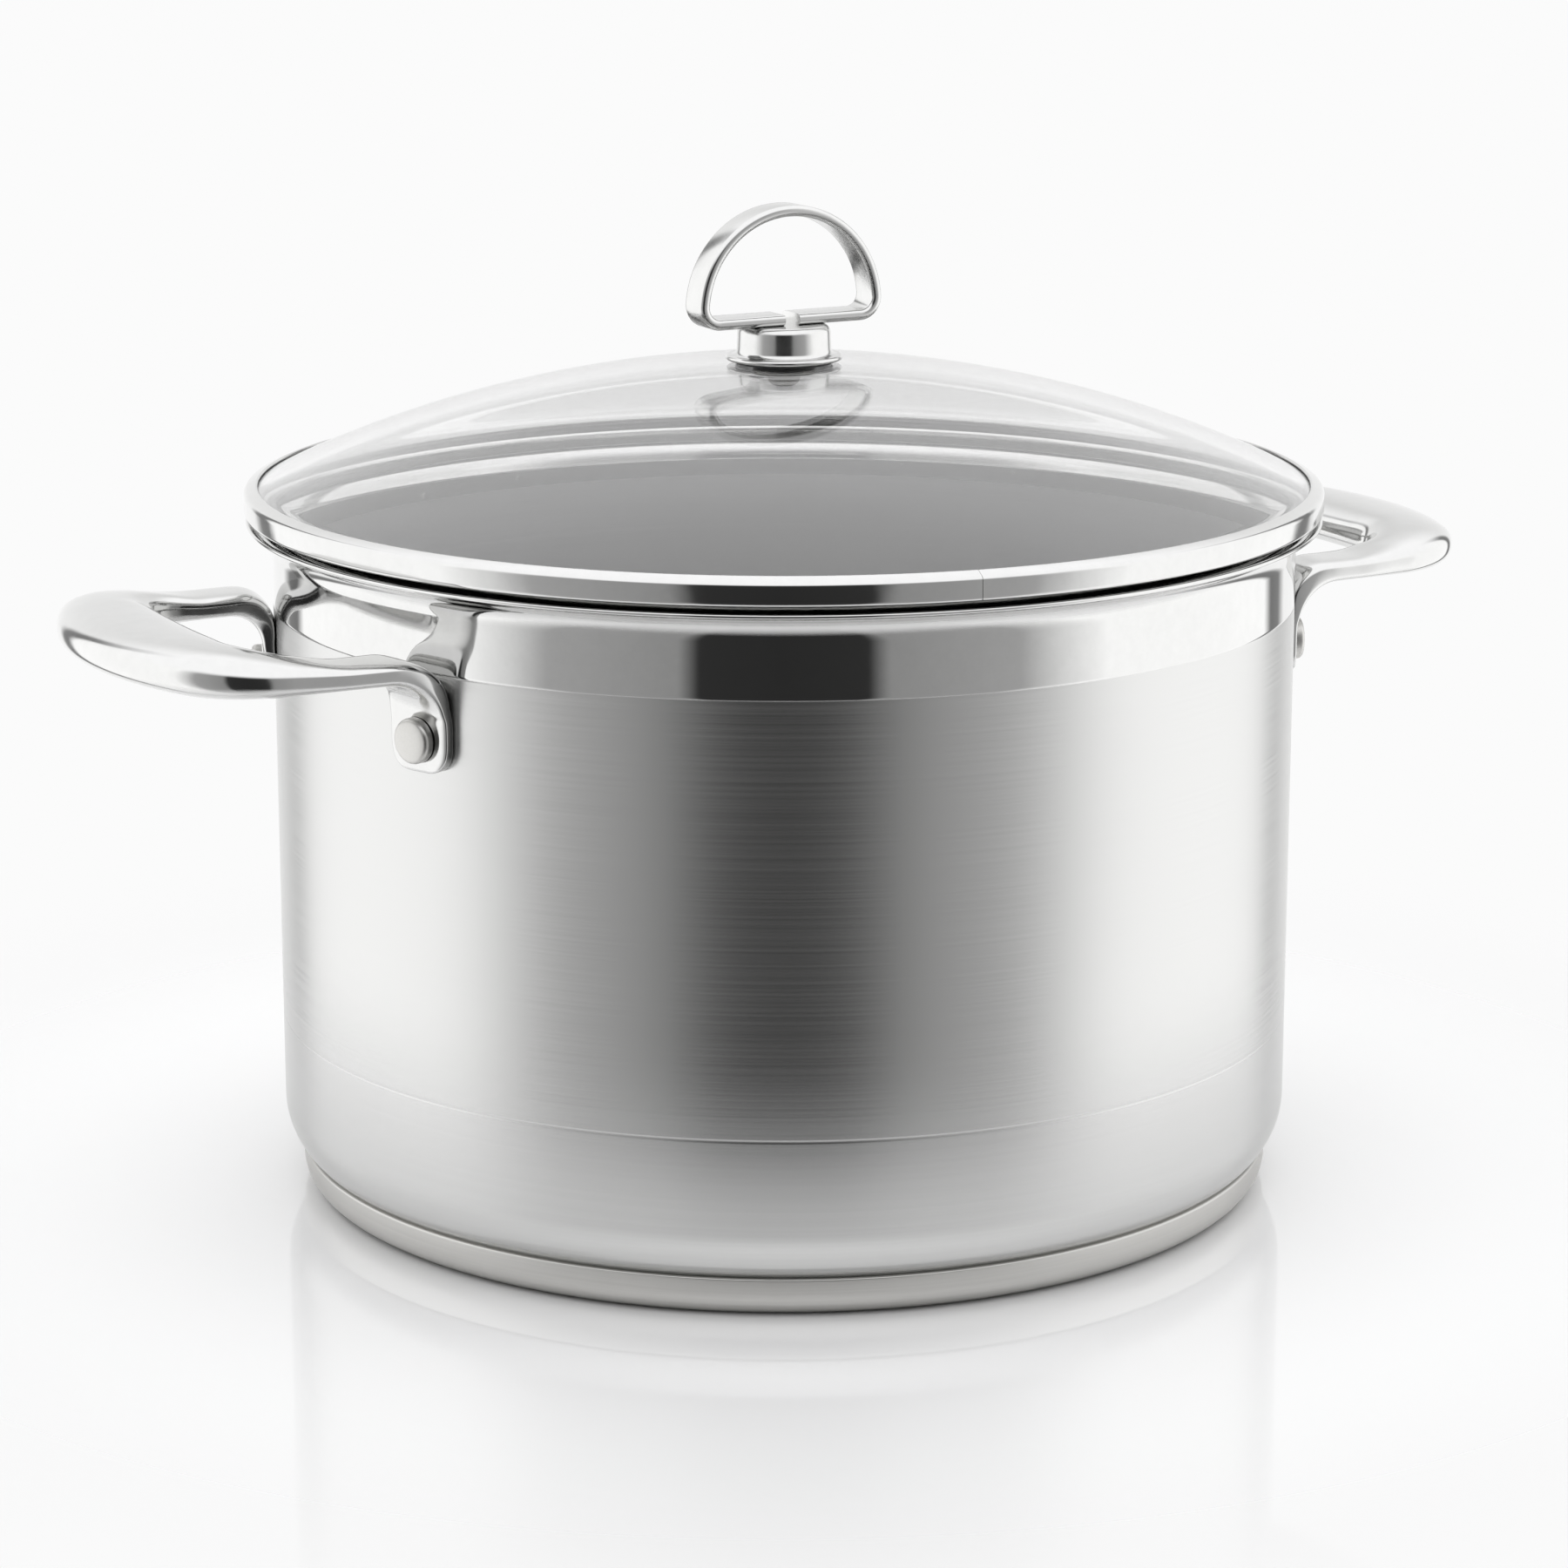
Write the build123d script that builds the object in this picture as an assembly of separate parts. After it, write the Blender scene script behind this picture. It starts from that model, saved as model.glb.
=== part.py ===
from build123d import *
import math
import os

# A 24 cm stock pot with a glass lid. The origin is at the middle of the bottom, +Z is up
# and the two side handles stand out along X. All sizes are in millimetres.

# Pot body: one deep-drawn steel wall that ends in a flared pouring lip
body_radius = 121.0
wall = 1.0
rim_height = 161.0
lip_rise = 7.2
lip_turn = 84.0
body_corner_radius = 15.0
scribe_drop = 20.0
lower_scribe_height = 42.5
scribe_width = 0.6
scribe_depth = 0.15

# Base: an aluminium disc closed in a steel capsule
core_thickness = 5.2
capsule_wall = 0.6
capsule_inset = 4.2
capsule_height = 9.4
capsule_corner_radius = 6.0
capsule_edge_radius = 0.5

# Side handles: a cast loop on two riveted tabs
handle_reach = 56.0
grip_width = 26.5
grip_corner_reach = 39.0
grip_narrowing = 1.2
grip_corner_radius = 27.0
grip_thickness = 11.2
grip_rise = 4.1
hole_corner_radius = 13.0
leg_drop = 15.5
leg_thickness = 5.5
tab_width = 17.4
tab_thickness = 3.0
tab_length = 26.5
tab_corner_radius = 5.5
bend_radius = 8.8
heel_radius = 9.0
leg_run = 6.2
handle_edge_radius = 1.4

# Rivets: two to a handle, and their height above the lower end of the tab
rivet_spacing = 87.4
rivet_inset = 7.4
rivet_radius = 2.5
rivet_head_radius = 5.15
rivet_head_height = 2.6
rivet_head_edge = 1.1
rivet_tail_radius = 5.0
rivet_tail_height = 1.3
rivet_tail_edge = 0.6

# Lid: a domed glass in a rolled steel band that hangs inside the lip
band_overhang = 6.3
band_wall = 0.8
band_lip = 2.9
band_shoulder_bevel = 0.8
band_corner_bevel = 0.5
lid_gap = 1.5
skirt_overhang = 0.5
seat_clearance = 0.35
glass_crown_radius = 288.0
glass_thickness = 3.5
glass_clearance = 0.3
glass_lip_clearance = 0.05
glass_edge_radius = 1.0
glass_bore_radius = 3.2

# Knob: a bent strip on a flanged cap, screwed through the glass
gasket_thickness = 0.5
gasket_radius = 11.5
lower_gasket_radius = 6.6
washer_radius = 7.3
washer_thickness = 1.0
cap_height = 8.3
cap_wall = 1.2
cap_top_radius = 10.9
cap_waist_radius = 11.7
cap_flange_radius = 13.8
cap_flange_rise = 1.9
cap_shoulder_radius = 1.9
cap_flare_radius = 1.6
boss_radius = 4.5
screw_radius = 2.0
screw_head_radius = 3.9
screw_head_height = 2.4
screw_head_edge = 2.1
screw_tip_gap = 1.0
washer_clearance = 0.2
loop_radius = 24.2
loop_rise = 28.1
loop_thickness = 2.6
loop_width = 9.0
loop_corner_radius = 4.2
loop_edge_radius = 0.9
loop_end_gap = 3.8

# How close a place must be to count as on a face, and how steep an edge must be to count as upright
face_reach = 0.1
outline_reach = 0.01
upright = 0.99

# Places worked out from the sizes above
core_bottom = capsule_wall
floor_underside = core_bottom + core_thickness
capsule_radius = body_radius - capsule_inset
flare_radius = lip_rise / math.sin(math.radians(lip_turn)) - wall
flare_bottom = rim_height - lip_rise
flare_centre = body_radius + flare_radius
inner_radius = body_radius - wall
tip_x = body_radius + handle_reach
scribe_height = rim_height - scribe_drop
leg_top = rim_height - leg_drop
grip_top = leg_top + grip_rise
tab_bottom = leg_top - tab_length
rivet_height = tab_bottom + rivet_inset
tab_outer = body_radius + tab_thickness
tab_middle = body_radius + tab_thickness / 2
leg_angle = math.degrees(math.asin(rivet_spacing / 2 / tab_middle))
band_radius = body_radius + band_overhang
band_lip_radius = band_radius - band_lip
skirt_radius = body_radius + skirt_overhang
band_underside = rim_height + lid_gap
glass_radius = band_radius - band_wall - glass_clearance
glass_inner_crown = glass_crown_radius - glass_thickness
shelf_top = band_underside + band_wall
crown_centre = shelf_top - math.sqrt(glass_inner_crown**2 - glass_radius**2)
glass_top = crown_centre + glass_crown_radius
glass_underside = glass_top - glass_thickness
cap_bottom = glass_top + gasket_thickness
cap_top = cap_bottom + cap_height


def polar_point(centre_x, centre_z, radius, angle):
    turn = math.radians(angle)
    return (centre_x + radius * math.cos(turn), centre_z + radius * math.sin(turn))


def revolved(outline):
    """Turn a closed outline, drawn in radius and height, about the pot's axis."""
    return revolve(Plane.XZ * outline, Axis.Z)


def ring_section(points, radii, thickness):
    """The outline of a bent sheet: a rounded line made thick, with round ends."""
    middle = FilletPolyline(*points, radius=radii)
    return make_face(offset(Wire(middle.edges()), thickness / 2, side=Side.BOTH))


def bevelled(points, bevels):
    """A line's points, with each corner cut off at its bevel's distance along both sides."""
    line = [points[0]]
    for before, corner, after, bevel in zip(points, points[1:], points[2:], bevels):
        for end in (before, after):
            share = bevel / math.dist(corner, end)
            line.append(tuple(near + (far - near) * share for near, far in zip(corner, end)))
    return line + [points[-1]]


def ball(radius):
    """A ball about the point that the lid's dome is drawn from."""
    return Pos(0, 0, crown_centre) * Sphere(radius)


def disc(radius, bottom, top):
    return Pos(0, 0, bottom) * extrude(Circle(radius), top - bottom)


def radial_plane(angle):
    """A plane square to the radius at this angle, with its x level and its y up."""
    turn = math.radians(angle)
    outward = (math.cos(turn), math.sin(turn), 0)
    level = (-math.sin(turn), math.cos(turn), 0)
    return Plane(origin=(0, 0, 0), x_dir=level, z_dir=outward)


def make_envelope():
    """The pot's outer shape as one full solid, used to fit the base against it."""
    corner_x = body_radius - body_corner_radius
    corner_z = floor_underside + body_corner_radius
    outline = [
        Line((0, floor_underside), (corner_x, floor_underside)),
        RadiusArc((corner_x, floor_underside), (body_radius, corner_z), -body_corner_radius),
        Line((body_radius, corner_z), (body_radius, flare_bottom)),
        Line((body_radius, flare_bottom), (0, flare_bottom)),
        Line((0, flare_bottom), (0, floor_underside)),
    ]
    return revolved(make_face(outline))


def make_pot_body():
    corner_x = body_radius - body_corner_radius
    corner_z = floor_underside + body_corner_radius
    floor_top = floor_underside + wall
    lip_angle = 180 - lip_turn
    lip_outer = polar_point(flare_centre, flare_bottom, flare_radius, lip_angle)
    lip_inner = polar_point(flare_centre, flare_bottom, flare_radius + wall, lip_angle)
    lip_crest = polar_point(flare_centre, flare_bottom, flare_radius + wall / 2, lip_angle)
    lip_tip = polar_point(*lip_crest, wall / 2, lip_angle - 90)
    flare_mid = 180 - lip_turn / 2
    outline = [
        Line((0, floor_underside), (corner_x, floor_underside)),
        RadiusArc((corner_x, floor_underside), (body_radius, corner_z), -body_corner_radius),
        Line((body_radius, corner_z), (body_radius, flare_bottom)),
        ThreePointArc(
            (body_radius, flare_bottom),
            polar_point(flare_centre, flare_bottom, flare_radius, flare_mid),
            lip_outer,
        ),
        ThreePointArc(lip_outer, lip_tip, lip_inner),
        ThreePointArc(
            lip_inner,
            polar_point(flare_centre, flare_bottom, flare_radius + wall, flare_mid),
            (inner_radius, flare_bottom),
        ),
        Line((inner_radius, flare_bottom), (inner_radius, corner_z)),
        RadiusArc((inner_radius, corner_z), (corner_x, floor_top), body_corner_radius - wall),
        Line((corner_x, floor_top), (0, floor_top)),
        Line((0, floor_top), (0, floor_underside)),
    ]
    body = revolved(make_face(outline))
    for height in (scribe_height, lower_scribe_height):
        groove = Polygon(
            (body_radius + scribe_depth, height - scribe_width),
            (body_radius + scribe_depth, height + scribe_width),
            (body_radius - scribe_depth, height),
            align=None,
        )
        body -= revolved(groove)
    for angle in rivet_angles.values():
        body -= rivet_bore(angle)
    return body


def make_base():
    """The aluminium core and the steel capsule that closes it against the pot."""
    envelope = make_envelope()
    rings = []
    for inset in (0, capsule_wall):
        solid = disc(capsule_radius - inset, inset, capsule_height - inset)
        lower_edge = solid.edges().group_by(Axis.Z)[0]
        rings.append(fillet(lower_edge, capsule_corner_radius - inset))
    outer, core_blank = rings
    outer = fillet(outer.edges().group_by(Axis.Z)[-1], capsule_edge_radius)
    core = core_blank - envelope
    shell = outer - core_blank - envelope
    return core, shell


def rivet_bore(angle):
    """A bore along the radius, from the axis out past the tab."""
    return extrude(radial_plane(angle) * Pos(0, rivet_height) * Circle(rivet_radius), tip_x)


def make_handle():
    """The handle on the +X side: two bent legs on riveted tabs, joined by a thick grip."""
    half_tab = math.degrees(math.asin(tab_width / 2 / tab_middle))
    leg_outer = tab_middle * math.sin(math.radians(leg_angle + half_tab))
    leg_inner = tab_middle * math.sin(math.radians(leg_angle - half_tab))
    root_x = body_radius * math.cos(math.radians(leg_angle + half_tab)) - tab_width
    corner_x = body_radius + grip_corner_reach
    corner_y = leg_outer - grip_narrowing
    hole_x = tip_x - grip_width

    plan = make_face([
        Line((root_x, -leg_outer), (corner_x, -corner_y)),
        ThreePointArc((corner_x, -corner_y), (tip_x, 0), (corner_x, corner_y)),
        Line((corner_x, corner_y), (root_x, leg_outer)),
        Line((root_x, leg_outer), (root_x, -leg_outer)),
    ])
    plan = fillet(plan.vertices().group_by(Axis.X)[-1], grip_corner_radius)
    hole_blank = Rectangle(hole_x - root_x, 2 * leg_inner, align=(Align.MIN, Align.CENTER))
    hole = Pos(root_x, 0) * hole_blank
    hole = fillet(hole.vertices().group_by(Axis.X)[-1], hole_corner_radius)
    loop_plan = extrude(plan - hole, rim_height)

    leg_bottom = leg_top - leg_thickness
    grip_bottom = grip_top - grip_thickness
    bend_end = tab_outer + bend_radius
    leg_end = bend_end + leg_run
    side_start = leg_end * math.cos(math.radians(leg_angle + half_tab))
    side_end = tip_x + grip_width
    grip_x = tip_x - grip_width / 2
    side = make_face([
        Line((side_start, leg_bottom), (side_start, leg_top)),
        Line((side_start, leg_top), (leg_end, leg_top)),
        Spline((leg_end, leg_top), (grip_x, grip_top), tangents=[(1, 0), (1, 0)]),
        Line((grip_x, grip_top), (side_end, grip_top)),
        Line((side_end, grip_top), (side_end, grip_bottom)),
        Line((side_end, grip_bottom), (grip_x, grip_bottom)),
        Spline((grip_x, grip_bottom), (leg_end, leg_bottom), tangents=[(-1, 0), (-1, 0)]),
        Line((leg_end, leg_bottom), (side_start, leg_bottom)),
    ])
    grip = extrude(Plane.XZ * side, tip_x, both=True) & loop_plan

    bend_bottom = leg_bottom - bend_radius
    heel = leg_top - heel_radius
    root = make_face([
        Line((body_radius, tab_bottom), (tab_outer, tab_bottom)),
        Line((tab_outer, tab_bottom), (tab_outer, bend_bottom)),
        RadiusArc((tab_outer, bend_bottom), (bend_end, leg_bottom), bend_radius),
        Line((bend_end, leg_bottom), (leg_end, leg_bottom)),
        Line((leg_end, leg_bottom), (leg_end, leg_top)),
        Line((leg_end, leg_top), (body_radius + heel_radius, leg_top)),
        RadiusArc((body_radius + heel_radius, leg_top), (body_radius, heel), -heel_radius),
        Line((body_radius, heel), (body_radius, tab_bottom)),
    ])
    handle = grip + (revolved(root) & loop_plan)
    tab_corners = handle.edges().filter_by(GeomType.LINE).group_by(Axis.Z)[0]
    handle = fillet(tab_corners, tab_corner_radius)
    outline = (plan - hole).edges()
    rims = []
    for edge in handle.edges():
        middle = edge @ 0.5
        from_axis = math.hypot(middle.X, middle.Y)
        on_tab_face = abs(from_axis - tab_outer) < face_reach and middle.Z < bend_bottom - face_reach
        in_plan = Vertex(middle.X, middle.Y, 0)
        on_outline = min(line.distance_to(in_plan) for line in outline) < outline_reach
        level = abs((edge % 0.5).Z) < upright
        on_leg = level and from_axis > tab_middle and middle.Z > bend_bottom
        if on_tab_face or (on_outline and on_leg):
            rims.append(edge)
    handle = fillet(rims, handle_edge_radius)
    for angle in (-leg_angle, leg_angle):
        handle -= rivet_bore(angle)
    return handle


def make_rivet(angle):
    """A rivet along the radius: a crowned head outside the tab and a flat tail inside the wall."""
    tail_face = math.sqrt(inner_radius**2 - rivet_tail_radius**2)
    on_radius = Location(Plane(origin=(0, 0, rivet_height), z_dir=radial_plane(angle).z_dir))
    head = disc(rivet_head_radius, tab_outer, tab_outer + rivet_head_height)
    head = fillet(head.edges().group_by(Axis.Z)[-1], rivet_head_edge)
    tail = disc(rivet_tail_radius, tail_face - rivet_tail_height, tail_face)
    tail = fillet(tail.edges().group_by(Axis.Z)[0], rivet_tail_edge)
    shank = disc(rivet_radius, tail_face, tab_outer)
    return on_radius * (head + shank + tail)


def make_lid_glass():
    """A dome of even thickness with a polished edge and a bore for the knob's screw."""
    blank = disc(glass_radius, 0, cap_top) & (ball(glass_crown_radius) - ball(glass_inner_crown))
    blank = fillet(blank.edges().filter_by(GeomType.CIRCLE), glass_edge_radius)
    return blank - disc(glass_bore_radius, 0, cap_top)


def make_lid_band():
    """Rolled steel round the glass: a lip over it, a shelf under it and a skirt inside the pot."""
    half = band_wall / 2
    outer_x = band_radius - half
    drop = math.asin(band_lip_radius / glass_crown_radius)
    glass_at_lip = crown_centre + glass_crown_radius * math.cos(drop)
    lip_z = glass_at_lip + (half + glass_lip_clearance) / math.cos(drop)
    shoulder_z = lip_z - (outer_x - band_lip_radius) * math.tan(drop)
    shelf_z = band_underside + half
    seat_radius = flare_radius + wall + half + seat_clearance
    skirt_z = flare_bottom + math.sqrt(seat_radius**2 - (flare_centre - skirt_radius) ** 2)
    points = [
        (band_lip_radius, lip_z),
        (outer_x, shoulder_z),
        (outer_x, shelf_z),
        (skirt_radius, shelf_z),
        (skirt_radius, skirt_z - band_wall),
    ]
    line = Polyline(*bevelled(points, [band_shoulder_bevel, band_corner_bevel, band_corner_bevel]))
    section = make_face(offset(line, half, side=Side.BOTH, kind=Kind.INTERSECTION))
    above_seat = Pos(0, skirt_z) * Rectangle(band_radius, rim_height, align=(Align.MIN, Align.MIN))
    return revolved(section & above_seat)


def make_knob_cap():
    """A pressed cup with a flange, and a drilled boss under its top for the screw."""
    half = cap_wall / 2
    points = [
        (0, cap_top - half),
        (cap_top_radius - half, cap_top - half),
        (cap_waist_radius - half, cap_bottom + cap_flange_rise),
        (cap_flange_radius - half, cap_bottom + half),
    ]
    section = ring_section(points, [cap_shoulder_radius, cap_flare_radius], cap_wall)
    right_side = Rectangle(2 * cap_flange_radius, 2 * cap_top, align=(Align.MIN, Align.CENTER))
    return revolved(section & right_side)


def make_knob_boss():
    boss = disc(boss_radius, cap_bottom, cap_top - cap_wall)
    return boss - disc(screw_radius, cap_bottom, cap_top - cap_wall - screw_tip_gap)


def make_knob_loop():
    """A flat strip bent into a D, with its two ends a little apart on the cap."""
    half = loop_thickness / 2
    run_z = cap_top + half
    arch_z = cap_top + loop_rise - loop_radius
    arch_radius = loop_radius - half
    lift = run_z + loop_corner_radius - arch_z
    corner_x = math.sqrt((arch_radius - loop_corner_radius) ** 2 - lift**2)
    turn = math.degrees(math.atan2(lift, corner_x))
    corner_centre = (corner_x, run_z + loop_corner_radius)
    path = []
    corner_turns = (-90, (turn - 90) / 2, turn)
    for side in (1, -1):
        points = [polar_point(*corner_centre, loop_corner_radius, angle) for angle in corner_turns]
        start, middle, end = [(side * x, z) for x, z in points]
        path.append(Line((side * loop_end_gap / 2, run_z), start))
        path.append(ThreePointArc(start, middle, end))
    right_x, right_z = polar_point(0, arch_z, arch_radius, turn)
    path.append(ThreePointArc((right_x, right_z), (0, arch_z + arch_radius), (-right_x, right_z)))
    line = Plane.XZ * Wire(path)
    strip = RectangleRounded(loop_thickness, loop_width, loop_edge_radius)
    return sweep(Plane(origin=line @ 0, z_dir=line % 0) * strip, line)


def make_knob_fixings():
    """What clamps the knob to the glass: two gaskets, a washer and a round-headed screw."""
    washer_top = glass_underside - gasket_thickness
    washer_bottom = washer_top - washer_thickness
    bore = disc(screw_radius + washer_clearance, 0, cap_top)
    upper = disc(gasket_radius, glass_underside, cap_bottom) - ball(glass_crown_radius) - bore
    lower = (disc(lower_gasket_radius, washer_top, glass_top) & ball(glass_inner_crown)) - bore
    washer = disc(washer_radius, washer_bottom, washer_top) - bore
    head = disc(screw_head_radius, washer_bottom - screw_head_height, washer_bottom)
    head = fillet(head.edges().group_by(Axis.Z)[0], screw_head_edge)
    screw = head + disc(screw_radius, washer_bottom, cap_top - cap_wall - screw_tip_gap)
    return {
        "knob_gasket_upper": upper,
        "knob_gasket_lower": lower,
        "knob_washer": washer,
        "knob_screw": screw,
    }


rivet_angles = {
    "right_front": -leg_angle,
    "right_rear": leg_angle,
    "left_front": 180 + leg_angle,
    "left_rear": 180 - leg_angle,
}

base_core, base_shell = make_base()
handle_right = make_handle()
nodes = {
    "pot_body": make_pot_body(),
    "base_core": base_core,
    "base_shell": base_shell,
    "handle_right": handle_right,
    "handle_left": Rot(0, 0, 180) * handle_right,
    "lid_glass": make_lid_glass(),
    "lid_band": make_lid_band(),
    "knob_cap": make_knob_cap(),
    "knob_boss": make_knob_boss(),
    "knob_loop": make_knob_loop(),
}
nodes.update(make_knob_fixings())
for place, angle in rivet_angles.items():
    nodes["rivet_" + place] = make_rivet(angle)

os.makedirs("parts", exist_ok=True)
for name, solid in nodes.items():
    export_step(solid, "parts/" + name + ".step")
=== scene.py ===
import math

import bpy
from mathutils import Matrix, Vector


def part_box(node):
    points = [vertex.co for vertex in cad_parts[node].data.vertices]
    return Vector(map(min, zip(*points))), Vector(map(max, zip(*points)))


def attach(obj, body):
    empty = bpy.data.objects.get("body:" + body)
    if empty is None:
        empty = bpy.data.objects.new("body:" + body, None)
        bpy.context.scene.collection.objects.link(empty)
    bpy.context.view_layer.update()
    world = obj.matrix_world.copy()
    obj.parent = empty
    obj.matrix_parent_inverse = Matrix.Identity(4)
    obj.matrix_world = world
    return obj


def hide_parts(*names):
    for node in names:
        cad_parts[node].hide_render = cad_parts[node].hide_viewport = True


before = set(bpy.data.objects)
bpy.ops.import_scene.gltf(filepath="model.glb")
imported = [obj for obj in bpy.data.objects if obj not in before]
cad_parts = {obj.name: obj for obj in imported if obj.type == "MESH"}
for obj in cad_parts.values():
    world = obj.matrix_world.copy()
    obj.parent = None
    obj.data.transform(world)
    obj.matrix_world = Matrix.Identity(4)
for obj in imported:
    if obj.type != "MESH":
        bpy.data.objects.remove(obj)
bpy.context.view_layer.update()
mm = 0.001


def linear(hexColour):
    # a screen colour such as #C8C8C6 as the linear colour that the shader wants
    parts = [int(hexColour[i:i + 2], 16) / 255 for i in (1, 3, 5)]
    return [p / 12.92 if p <= 0.04045 else ((p + 0.055) / 1.055) ** 2.4 for p in parts] + [1]


def addNode(tree, kind, settings=None, values=None, links=None):
    # one node: its settings, the values of its sockets and what feeds them
    node = tree.nodes.new(kind)
    for name, value in (settings or {}).items():
        setattr(node, name, value)
    for socket, value in (values or {}).items():
        node.inputs[socket].default_value = value
    for socket, source in (links or {}).items():
        tree.links.new(source, node.inputs[socket])
    return node


def newMaterial(name):
    material = bpy.data.materials.new(name)
    material.use_nodes = True
    material.node_tree.nodes.clear()
    return material


def finishMaterial(material, values, links):
    tree = material.node_tree
    shader = addNode(tree, "ShaderNodeBsdfPrincipled", values=values, links=links)
    addNode(tree, "ShaderNodeOutputMaterial", links={"Surface": shader.outputs["BSDF"]})
    return material


# Camera

view = {"azimuth": -28.5, "elevation": 13.55, "distance": 1.1328, "aimHeight": 0.0938, "lens": 108.1}


def placeCamera():
    turn = math.radians(view["azimuth"])
    lift = math.radians(view["elevation"])
    back = Vector((math.sin(turn) * math.cos(lift), -math.cos(turn) * math.cos(lift), math.sin(lift)))
    data = bpy.data.cameras.new("studioCamera")
    data.lens = view["lens"]
    data.sensor_width = 36
    data.clip_end = 50
    camera = bpy.data.objects.new("studioCamera", data)
    bpy.context.scene.collection.objects.link(camera)
    camera.location = Vector((0, 0, view["aimHeight"])) + back * view["distance"]
    camera.rotation_euler = (-back).to_track_quat("-Z", "Y").to_euler()
    bpy.context.scene.camera = camera


# Studio: white walls all round, a dark opening in front, a narrow dark gap on each side further back and a
# softbox overhead. walls: degrees from the front and the light there; floorLift: the share of light that
# only matt surfaces get on top, as from lamps aimed at the floor

studio = {
    "frontTurn": 118.5,
    "walls": [
        (0, 0.035), (18.5, 0.04), (23, 0.38), (53, 0.52), (62, 0.95), (76, 1.5), (125, 1.5), (135, 1.45),
        (139, 0.25), (145, 0.3), (150, 1.2), (180, 0.95),
    ],
    "overhead": 1.5,
    "overheadStarts": 0.40,
    "overheadFull": 0.75,
    "backdrop": "#FBFBFB",
    "brightest": 2.0,
    "floorLift": 0.5,
}


def buildStudio():
    world = bpy.data.worlds.new("studio")
    bpy.context.scene.world = world
    world.use_nodes = True
    tree = world.node_tree
    tree.nodes.clear()
    direction = addNode(tree, "ShaderNodeTexCoord")
    turned = addNode(
        tree, "ShaderNodeMapping",
        values={"Rotation": (0, 0, math.radians(studio["frontTurn"]))},
        links={"Vector": direction.outputs["Generated"]},
    )
    axes = addNode(tree, "ShaderNodeSeparateXYZ", links={"Vector": turned.outputs["Vector"]})
    angle = addNode(
        tree, "ShaderNodeMath", {"operation": "ARCTAN2"},
        links={0: axes.outputs["Y"], 1: axes.outputs["X"]},
    )
    fromFront = addNode(tree, "ShaderNodeMath", {"operation": "ABSOLUTE"}, links={0: angle.outputs[0]})
    share = addNode(
        tree, "ShaderNodeMath", {"operation": "DIVIDE"}, values={1: math.pi}, links={0: fromFront.outputs[0]},
    )
    walls = addNode(tree, "ShaderNodeValToRGB", links={"Fac": share.outputs[0]})
    while len(walls.color_ramp.elements) < len(studio["walls"]):
        walls.color_ramp.elements.new(0.5)
    for stop, (degrees, light) in zip(walls.color_ramp.elements, studio["walls"]):
        stop.position = degrees / 180
        level = light / studio["brightest"]
        stop.color = (level, level, level, 1)
    height = addNode(
        tree, "ShaderNodeMapRange", {"interpolation_type": "SMOOTHSTEP"},
        values={"From Min": studio["overheadStarts"], "From Max": studio["overheadFull"]},
        links={"Value": axes.outputs["Z"]},
    )
    softbox = studio["overhead"] / studio["brightest"]
    room = addNode(
        tree, "ShaderNodeMix", {"data_type": "RGBA"}, values={7: (softbox, softbox, softbox * 1.01, 1)},
        links={0: height.outputs["Result"], 6: walls.outputs["Color"]},
    )
    seen = addNode(tree, "ShaderNodeLightPath")
    strength = addNode(
        tree, "ShaderNodeMath", {"operation": "MULTIPLY_ADD"},
        values={1: studio["brightest"] * studio["floorLift"], 2: studio["brightest"]},
        links={0: seen.outputs["Is Diffuse Ray"]},
    )
    roomLight = addNode(
        tree, "ShaderNodeBackground", links={"Color": room.outputs[2], "Strength": strength.outputs[0]},
    )
    backdrop = addNode(tree, "ShaderNodeBackground", values={"Color": linear(studio["backdrop"])})
    both = addNode(
        tree, "ShaderNodeMixShader",
        links={0: seen.outputs["Is Camera Ray"], 1: roomLight.outputs[0], 2: backdrop.outputs[0]},
    )
    addNode(tree, "ShaderNodeOutputWorld", links={"Surface": both.outputs[0]})
    bpy.context.scene.view_settings.view_transform = "Standard"


# Floor: a round sheet of glossy white acrylic that fades into the backdrop. Its IOR is above the real 1.49,
# so that the mirror image is as plain as on a well polished sheet

floorSheet = {"radius": 0.33, "fadeFrom": 0.40, "colour": "#D8D8D8", "roughness": 0.04, "ior": 2.2}


def acrylicFloor():
    # cast acrylic: even white with a clear soft mirror image of what stands on it
    material = newMaterial("glossyWhiteAcrylic")
    tree = material.node_tree
    place = addNode(tree, "ShaderNodeTexCoord")
    cloud = addNode(
        tree, "ShaderNodeTexNoise", values={"Scale": 6, "Detail": 2},
        links={"Vector": place.outputs["Object"]},
    )
    gloss = addNode(
        tree, "ShaderNodeMapRange",
        values={"To Min": floorSheet["roughness"], "To Max": floorSheet["roughness"] * 1.6},
        links={"Value": cloud.outputs["Fac"]},
    )
    reach = addNode(
        tree, "ShaderNodeVectorMath", {"operation": "LENGTH"}, links={0: place.outputs["Object"]},
    )
    fade = addNode(
        tree, "ShaderNodeMapRange", {"interpolation_type": "SMOOTHSTEP"},
        values={
            "From Min": floorSheet["fadeFrom"] * floorSheet["radius"], "From Max": floorSheet["radius"],
            "To Min": 1, "To Max": 0,
        },
        links={"Value": reach.outputs["Value"]},
    )
    return finishMaterial(
        material,
        {"Base Color": linear(floorSheet["colour"]), "IOR": floorSheet["ior"]},
        {"Roughness": gloss.outputs["Result"], "Alpha": fade.outputs["Result"]},
    )


def layFloor():
    bpy.ops.object.select_all(action="DESELECT")
    bpy.ops.mesh.primitive_circle_add(vertices=128, radius=floorSheet["radius"], fill_type="NGON")
    floor = bpy.context.object
    floor.name = "studioFloor"
    floor.data.materials.append(acrylicFloor())


# Metals and glass

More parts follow.
